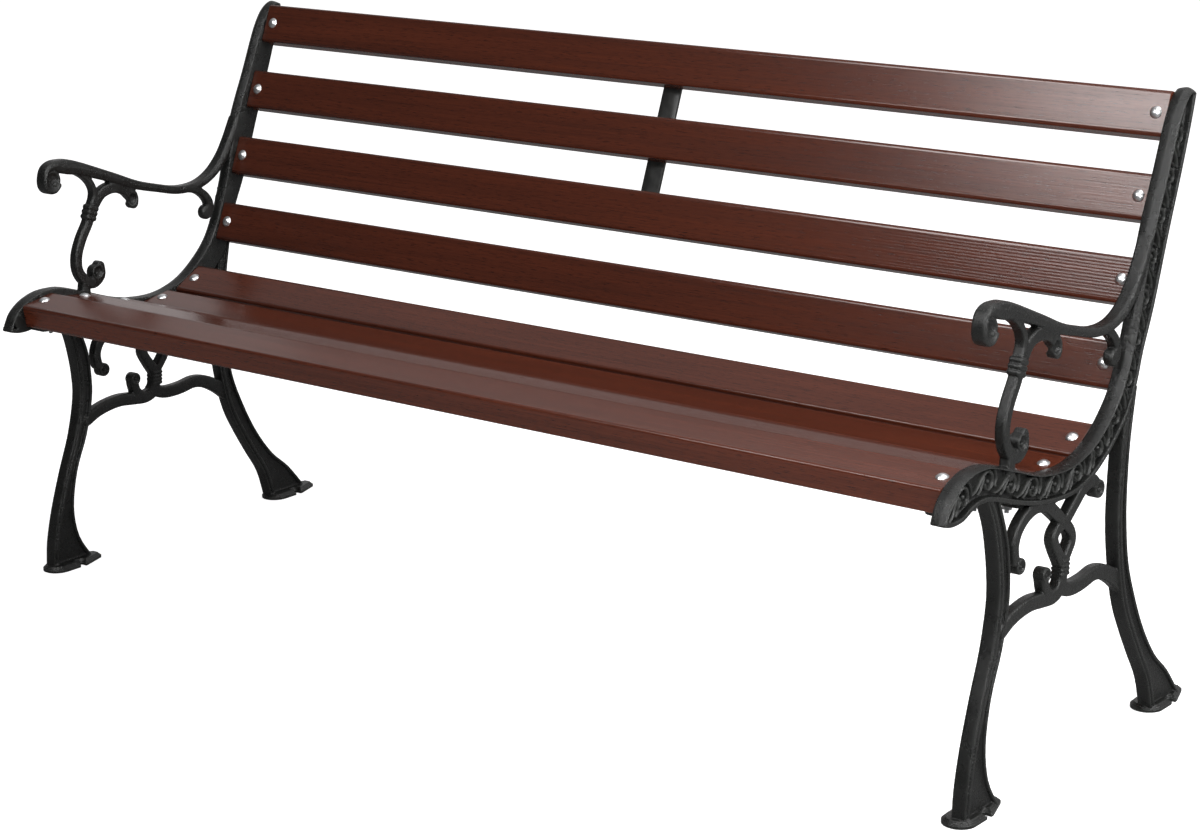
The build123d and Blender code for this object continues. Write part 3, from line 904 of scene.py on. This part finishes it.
class BENCH_OT_end_frames(bpy.types.Operator):
    """Model the right-hand casting and its mirror image"""

    bl_idname = "bench.end_frames"
    bl_label = "End frames"

    def execute(self, context):
        sizes = context.scene.bench_sizes
        width, ornament = sizes.casting_width, sizes.ornament_width
        web = offset_line(BAND_FRONT[1:-1], -WEB_TUCK) + offset_line(BAND_REAR[1:-1], WEB_TUCK)[::-1]
        flush = INNER_FACE + ornament / 2
        shells = [
            plate("web", web, INNER_FACE, sizes.web_thickness),
            edge_run("front_rim", BAND_FRONT, FRONT_RIM, MID_PLANE, share=rim_share),
            edge_run("rear_rim", BAND_REAR, REAR_RIM, MID_PLANE),
            *leg_shells(FRONT_LEG_FRONT, FRONT_LEG_REAR),
            *leg_shells(REAR_LEG_FRONT, REAR_LEG_REAR),
            bar("arm", ARM, MID_PLANE, width, ARM_CORNER, crest=ARM_RIDGE),
            disc("arm_curl_floor", *ARM_DRUM, MID_PLANE, 15 * MM, 3 * MM),
            *[bar("member", stations, MID_PLANE, ornament, ORNAMENT_CORNER) for stations in LIGHT_MEMBERS],
            *[disc("scroll_end", *place, MID_PLANE, ornament + 2 * MM, 2.5 * MM) for place in SCROLL_ENDS],
            bar("rear_curl", REAR_CURL, flush, ornament, ORNAMENT_CORNER),
            disc("rear_curl_end", *REAR_CURL_END, flush, ornament, 4 * MM),
            *collar_rings(*POST_COLLAR), *collar_rings(*LEG_COLLAR),
            *[foot_shell(tip) for tip in FOOT_TIPS],
            *lug_shells(),
        ]
        casting = join("casting", shells)
        casting.data.remesh_voxel_size = sizes.voxel
        casting.data.use_remesh_fix_poles = False
        bpy.ops.object.voxel_remesh()
        for dish in DISHES:
            hollow_face(casting, *dish)
        apply_modifier(casting, "SMOOTH", factor=0.5, iterations=1)
        goal = sizes.casting_triangles / (2 * len(casting.data.polygons))
        apply_modifier(casting, "DECIMATE", ratio=min(goal, 1.0))
        bpy.ops.object.shade_smooth()
        left = mirrored_pair(casting, "left_casting", "right_casting")
        bpy.ops.object.shade_smooth()
        dress(casting, "cast_iron_paint", "iron", "right_end_frame")
        dress(left, "cast_iron_paint", "iron", "left_end_frame")
        return {"FINISHED"}


def relief_line(name, stations, steps):
    return run_ring(name, rounded_ends(smooth_line(stations, steps), 2, 0.1), RELIEF_SECTION, RELIEF_FACE)


class BENCH_OT_band_scrolls(bpy.types.Operator):
    """Model the running scroll cast into the outer side of each band, and the nubs of the scroll ends"""

    bl_idname = "bench.band_scrolls"
    bl_label = "Band scrolls"

    def execute(self, context):
        lines = [relief_line("scroll_line", line, 3) for line in RELIEF_UNIT]
        lines.append(ball("ring_nub", side_place(RELIEF_NUB_X, *RELIEF_NUB[:2]), RELIEF_NUB[2] * MM))
        unit = join("scroll_unit", lines)
        middle, travelled, units = band_middle(), RELIEF_START, []
        for pitch in (0.0, *RELIEF_PITCHES):
            travelled += pitch
            place, run = along_middle(middle, travelled)
            turn = math.atan2(run[1], run[0])
            centre = side_place(0, place[0] - run[1] * RELIEF_RISE, place[1] + run[0] * RELIEF_RISE)
            units.append(copy_of(unit, "scroll_unit", shifted(*centre) @ Matrix.Rotation(turn, 4, "X")
                                 @ shifted(0, -SIDE_ZERO_Y, 0)))
        bpy.data.objects.remove(unit)
        units.append(relief_line("nose_curl", NOSE_CURL, 4))
        for y, z, radius, reach in NUBS:
            for side in (-1, 1):
                units.append(ball("nub", side_place(MID_PLANE + side * (reach * MM), y, z), radius * MM, 0.8))
        scrolls = join("band_scrolls", units)
        close_edit(scrolls, 50)
        left = mirrored_pair(scrolls, "left_band_scrolls", "right_band_scrolls")
        for piece in (scrolls, left):
            dress(piece, "cast_iron_paint", "iron")
        return {"FINISHED"}


class BENCH_OT_slats(bpy.types.Operator):
    """Model the nine varnished slats"""

    bl_idname = "bench.slats"
    bl_label = "Slats"

    def execute(self, context):
        sizes = context.scene.bench_sizes
        low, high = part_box("seat_slat_1")
        reach = (high.x - low.x) / 2
        width, thickness = sizes.slat_width, sizes.slat_thickness
        board = block("board", (2 * reach, width, thickness), sizes.slat_edge, 5, axis=0,
                      place=shifted(0, 0, -thickness / 2))
        round_edges(board, lambda *ends: all(near(abs(end.x), reach) for end in ends), 0.7 * MM, 2)
        choose(board, "FACE", lambda f: f.area > 0.01 and max(abs(f.normal.y), abs(f.normal.z)) > 0.999)
        bpy.ops.mesh.inset(thickness=0.6 * MM, use_individual=True)
        bpy.ops.object.mode_set(mode="OBJECT")
        for side in (-1, 1):
            drill(board, BOLT_HOLE, shifted(side * BOLT_X, 0, -thickness / 2), 100 * MM)
        close_edit(board, 35)
        for index, name in enumerate(SLATS):
            twin = copy_of(board, name + "_board", slat_place(name))
            for label, value in (("board_seed", index * 3.7), ("board_ribs", float(name == "back_slat_2"))):
                attribute = twin.data.attributes.new(label, "FLOAT", "POINT")
                attribute.data.foreach_set("value", [value] * len(twin.data.vertices))
            dress(twin, "varnished_wood", "slat_wood", name)
        bpy.data.objects.remove(board)
        return {"FINISHED"}


def capped_sphere(radius, height):
    """Low dome standing on Z = 0."""
    ball_radius = (radius ** 2 + height ** 2) / (2 * height)
    clear_selection()
    bpy.ops.mesh.primitive_uv_sphere_add(segments=48, ring_count=64, radius=ball_radius,
                                         location=(0, 0, height - ball_radius))
    dome = settle(bpy.context.object)
    edit(dome)
    bpy.ops.mesh.bisect(plane_co=(0, 0, DOME_RIM), plane_no=(0, 0, 1), clear_inner=True, use_fill=True)
    choose(dome, "FACE", lambda f: f.normal.z < -0.9)
    extrude((0, 0, -DOME_RIM))
    close_shell()
    return dome


def cylinder(radius, low, high, vertices):
    """Upright cylinder on the Z axis between two heights."""
    clear_selection()
    bpy.ops.mesh.primitive_cylinder_add(vertices=vertices, radius=radius, depth=high - low,
                                        location=(0, 0, (low + high) / 2))
    return settle(bpy.context.object)


def rod(radius, low, high):
    """Shank with a rounded lower end."""
    return round_edges(cylinder(radius, low, high, 24), lambda a, b: near(a.z, low) and near(b.z, low),
                       radius * 0.16, 2)


def threaded_end(radius, low, high, pitch):
    """Rod whose turns of thread are rings extruded one after another, each crest between two roots."""
    clear_selection()
    bpy.ops.mesh.primitive_circle_add(vertices=20, radius=radius * THREAD_ROOT, fill_type="NGON",
                                      location=(0, 0, low))
    piece = settle(bpy.context.object)
    edit(piece)
    for _ in range(int((high - low) / pitch)):
        for size in (1 / THREAD_WAIST, THREAD_WAIST):
            extrude((0, 0, pitch / 2))
            bpy.ops.transform.resize(value=(size, size, 1), center_override=(0, 0, 0))
    close_shell()
    return piece


def carriage_bolt(sizes):
    """Domed head, square neck, shank and threaded end, its head's underside at Z = 0."""
    head = capped_sphere(sizes.head_diameter / 2, sizes.head_height)
    neck = block("neck", (NECK_WIDTH, NECK_WIDTH, NECK_DEPTH), 0.5 * MM, 2,
                 place=shifted(0, 0, 0.01 * MM - NECK_DEPTH / 2))
    shank = rod(SHANK_RADIUS, LUG_BACK - 2 * MM, 0.1 * MM - NECK_DEPTH)
    thread = threaded_end(THREAD_RADIUS, BOLT_END, LUG_BACK, THREAD_PITCH)
    return close_edit(join("carriage_bolt", [head, neck, shank, thread]), 35)


def hex_nut(low, high):
    """Six-sided nut with chamfered corners and a bored middle."""
    nut = cylinder(NUT_HALF_FLATS / math.cos(math.pi / 6), low, high, 6)
    wide, narrow, height = NUT_CHAMFER
    bpy.ops.mesh.primitive_cone_add(vertices=48, radius1=wide, radius2=narrow, depth=height,
                                    location=(0, 0, low + height / 2), rotation=(math.pi, 0, 0))
    cone = settle(bpy.context.object)
    envelope = join("envelope", [cone, cylinder(wide, low + height, low + height + 6 * MM, 48)])
    cut_away(nut, envelope, "INTERSECT", use_self=True)
    drill(nut, NUT_BORE, shifted(0, 0, low))
    return close_edit(nut, 25)


def washer_ring(low, high):
    ring = cylinder(WASHER_RADIUS, low, high, 40)
    drill(ring, BOLT_HOLE, shifted(0, 0, low))
    rim = WASHER_RADIUS - 0.1 * MM
    round_edges(ring, lambda a, b: min(a.xy.length, b.xy.length) > rim and near(a.z, b.z), 0.3 * MM, 2)
    return close_edit(ring, 30)


def pan_screw():
    """Pan head with a slot, standing behind the strap, its shank in the slat."""
    head = capped_sphere(SCREW_HEAD_RADIUS, SCREW_HEAD_HEIGHT)
    head.matrix_world = shifted(0, 0, STRAP_BACK) @ turned(180, "X")
    settle(head)
    cut_away(head, block("slot", SCREW_SLOT, 0.1 * MM, 1,
                         place=shifted(0, 0, STRAP_BACK - SCREW_HEAD_HEIGHT)))
    shank = rod(SCREW_RADIUS, STRAP_BACK - 0.2 * MM, SCREW_TIP)
    return close_edit(join("pan_screw", [head, shank]), 35)


class BENCH_OT_fasteners(bpy.types.Operator):
    """Model the carriage bolts, washers, nuts and strap screws"""

    bl_idname = "bench.fasteners"
    bl_label = "Bolts, washers and nuts"

    def execute(self, context):
        sizes = context.scene.bench_sizes
        masters = {
            "bolts": carriage_bolt(sizes),
            "washers": washer_ring(WASHER_BACK, LUG_BACK),
            "nuts": hex_nut(NUT_BACK, WASHER_BACK),
        }
        for side, sign in (("left", -1), ("right", 1)):
            for group in ("back", "seat"):
                places = [slat_place(name) @ shifted(sign * BOLT_X, 0, 0)
                          for name in SLATS if name.startswith(group)]
                for kind, master in masters.items():
                    copies = [copy_of(master, kind, place) for place in places]
                    node_name = f"{side}_{group}_{kind}"
                    dress(join(node_name + "_set", copies), "bright_zinc", "zinc", node_name)
        for master in masters.values():
            bpy.data.objects.remove(master)
        screw = pan_screw()
        screws = join("back_strap_screws", [copy_of(screw, "screw", slat_place(name))
                                            for name in STRAPPED_SLATS])
        bpy.data.objects.remove(screw)
        dress(screws, "bright_zinc", "zinc", "back_brace_screws")
        return {"FINISHED"}


class BENCH_OT_strap(bpy.types.Operator):
    """Model the flat strap behind the upper back slats"""

    bl_idname = "bench.strap"
    bl_label = "Back strap"

    def execute(self, context):
        run = 2 * BACK_PITCH
        place = slat_place(STRAPPED_SLATS[0]) @ shifted(0, run / 2 * MM, STRAP_MIDDLE)
        strap = block("back_strap", (STRAP_WIDTH, (run + STRAP_OVERRUN) * MM, STRAP_THICKNESS), 0.6 * MM, 2,
                      place=place)
        for name in STRAPPED_SLATS:
            drill(strap, STRAP_HOLE, slat_place(name) @ shifted(0, 0, STRAP_MIDDLE), 20 * MM)
        close_edit(strap, 30)
        dress(strap, "strap_paint", "strap_steel", "back_brace")
        return {"FINISHED"}


def paper_floor():
    """Pale floor: bright where it is looked at, calmer where it is mirrored in the bench."""
    material, tree, shader = start_material("stage_paper")
    path = node(tree, "ShaderNodeLightPath").outputs
    feed(tree, shader, {
        "Base Color": mix_colours(tree, path["Is Glossy Ray"], rgba((0.86,) * 3), rgba((0.26,) * 3)),
        "Roughness": 1.0,
        "Specular IOR Level": 0.0,
        "Emission Color": (1, 1, 1, 1),
        "Emission Strength": maths(tree, "MULTIPLY", path["Is Camera Ray"], 0.80),
    })
    return material


def studio_world():
    """Dim in front, brighter behind and overhead, as a white sweep behind the bench."""
    world = bpy.data.worlds.new("studio")
    world.use_nodes = True
    tree = world.node_tree
    way = node(tree, "ShaderNodeTexCoord").outputs["Generated"]
    ways = node(tree, "ShaderNodeSeparateXYZ", {0: way}).outputs
    behind = spread(tree, ways["Y"], -0.1, 0.7, 0.06, 0.56, "SMOOTHSTEP")
    above = spread(tree, ways["Z"], 0.45, 1.0, 0.0, 0.3, "SMOOTHSTEP")
    feed(tree, tree.nodes["Background"], {0: (1.0, 0.985, 0.99, 1), 1: maths(tree, "ADD", behind, above)})
    return world


CAMERA_PLACE = (2.26713, -2.75211, 1.27504)
# Azimuth from behind the bench's front, elevation over the horizon and roll, in degrees
CAMERA_TURNS = (38.27, 13.31, -0.65)
CAMERA_LENS = 85.26
CAMERA_SENSOR = 36
CAMERA_SHIFT = (-0.0147, -0.0862)
# Soft lights: name, place, aim, width and height in metres, power in watts, and whether it only makes sheen
LAMPS = (
    ("front_soft", (-0.25, -2.0, 2.31), (0.5, 0.1, 0.6), 1.3, 0.8, 36.0, True),
    ("right_key", (1.8, -1.8, 1.6), (0.5, 0.1, 0.5), 0.8, 0.8, 34.0, False),
    ("overhead_soft", (1.2, 0.1, 3.4), (0.3, 0.0, 0.0), 2.6, 2.0, 42.0, False),
    ("side_soft", (3.4, 0.2, 1.6), (0.7, 0.0, 0.4), 0.9, 0.9, 60.0, False),
)


class BENCH_OT_stage(bpy.types.Operator):
    """Add the pale floor, the soft lights and the camera"""

    bl_idname = "bench.stage"
    bl_label = "Stage"

    def execute(self, context):
        clear_selection()
        bpy.ops.mesh.primitive_plane_add(size=60, location=(0, 0, -0.5 * MM))
        floor = bpy.context.object
        floor.name = "stage_floor"
        floor.data.materials.append(paper_floor())
        context.scene.world = studio_world()
        for name, place, aim, width, height, power, sheen_only in LAMPS:
            bpy.ops.object.light_add(type="AREA", location=place)
            lamp = bpy.context.object
            lamp.name = name
            lamp.data.shape = "RECTANGLE"
            lamp.data.size, lamp.data.size_y = width, height
            lamp.data.energy = power
            lamp.visible_camera = False
            lamp.visible_diffuse = not sheen_only
            lamp.rotation_euler = (Vector(aim) - Vector(place)).to_track_quat("-Z", "Y").to_euler()
        bpy.ops.object.camera_add(location=CAMERA_PLACE)
        camera = bpy.context.object
        azimuth, elevation, roll = (math.radians(turn) for turn in CAMERA_TURNS)
        look = Vector((-math.sin(azimuth) * math.cos(elevation), math.cos(azimuth) * math.cos(elevation),
                       -math.sin(elevation)))
        camera.rotation_euler = (look.to_track_quat("-Z", "Y").to_matrix().to_4x4()
                                 @ Matrix.Rotation(roll, 4, "Z")).to_euler()
        camera.data.sensor_width = CAMERA_SENSOR
        camera.data.lens = CAMERA_LENS
        camera.data.shift_x, camera.data.shift_y = CAMERA_SHIFT
        context.scene.camera = camera
        context.scene.view_settings.view_transform = "Standard"
        return {"FINISHED"}


class BENCH_PT_panel(bpy.types.Panel):
    """Sidebar list of the bench's operators and settings"""

    bl_label = "Garden Bench"
    bl_idname = "BENCH_PT_panel"
    bl_space_type = "VIEW_3D"
    bl_region_type = "UI"
    bl_category = "Bench"

    def draw(self, context):
        for operator in OPERATORS:
            self.layout.operator(operator.bl_idname)
        for group in (context.scene.bench_sizes, context.scene.bench_colours):
            for key in group.__annotations__:
                self.layout.prop(group, key)


OPERATORS = (BENCH_OT_end_frames, BENCH_OT_band_scrolls, BENCH_OT_slats, BENCH_OT_fasteners, BENCH_OT_strap,
             BENCH_OT_stage)
CLASSES = (BenchSizes, BenchColours, *OPERATORS, BENCH_PT_panel)


def register():
    for item in CLASSES:
        bpy.utils.register_class(item)
    bpy.types.Scene.bench_sizes = bpy.props.PointerProperty(type=BenchSizes)
    bpy.types.Scene.bench_colours = bpy.props.PointerProperty(type=BenchColours)


def unregister():
    del bpy.types.Scene.bench_colours
    del bpy.types.Scene.bench_sizes
    for item in reversed(CLASSES):
        bpy.utils.unregister_class(item)


def main():
    register()
    bpy.ops.bench.end_frames()
    bpy.ops.bench.band_scrolls()
    bpy.ops.bench.slats()
    bpy.ops.bench.fasteners()
    bpy.ops.bench.strap()
    bpy.ops.bench.stage()


if __name__ == "__main__":
    main()
